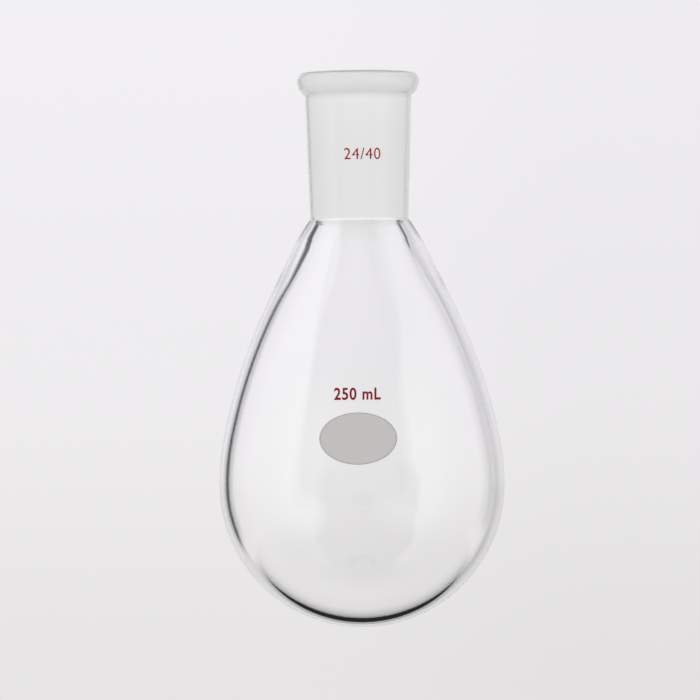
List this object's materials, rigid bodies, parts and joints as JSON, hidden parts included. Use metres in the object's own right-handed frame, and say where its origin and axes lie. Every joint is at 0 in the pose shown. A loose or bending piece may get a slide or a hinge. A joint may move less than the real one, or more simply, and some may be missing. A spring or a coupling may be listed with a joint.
{
  "type": "recovery flask",
  "caption": "Pear-shaped glass recovery flask with a ground conical socket, a rolled bead round its mouth and an enamel marking spot.",
  "frame": {"origin": "centre of the mouth, in the plane of the bead's top, on the axis of the ground socket", "axes": "+Z out of the mouth along the joint's axis, the flask hanging below from z = 0 to its round bottom; -Y is the front, with the marking spot; +X is to the right seen from the front"},
  "size_m": [0.0776, 0.0776, 0.1509],
  "materials": {
    "borosilicate_glass": "clear and fire-polished, with a fine ground frost in the socket",
    "marking_enamel": "matte white fired enamel"
  },
  "bodies": {
    "root": {"flask": "borosilicate_glass", "marking_spot": "marking_enamel"}
  },
  "joints": []
}
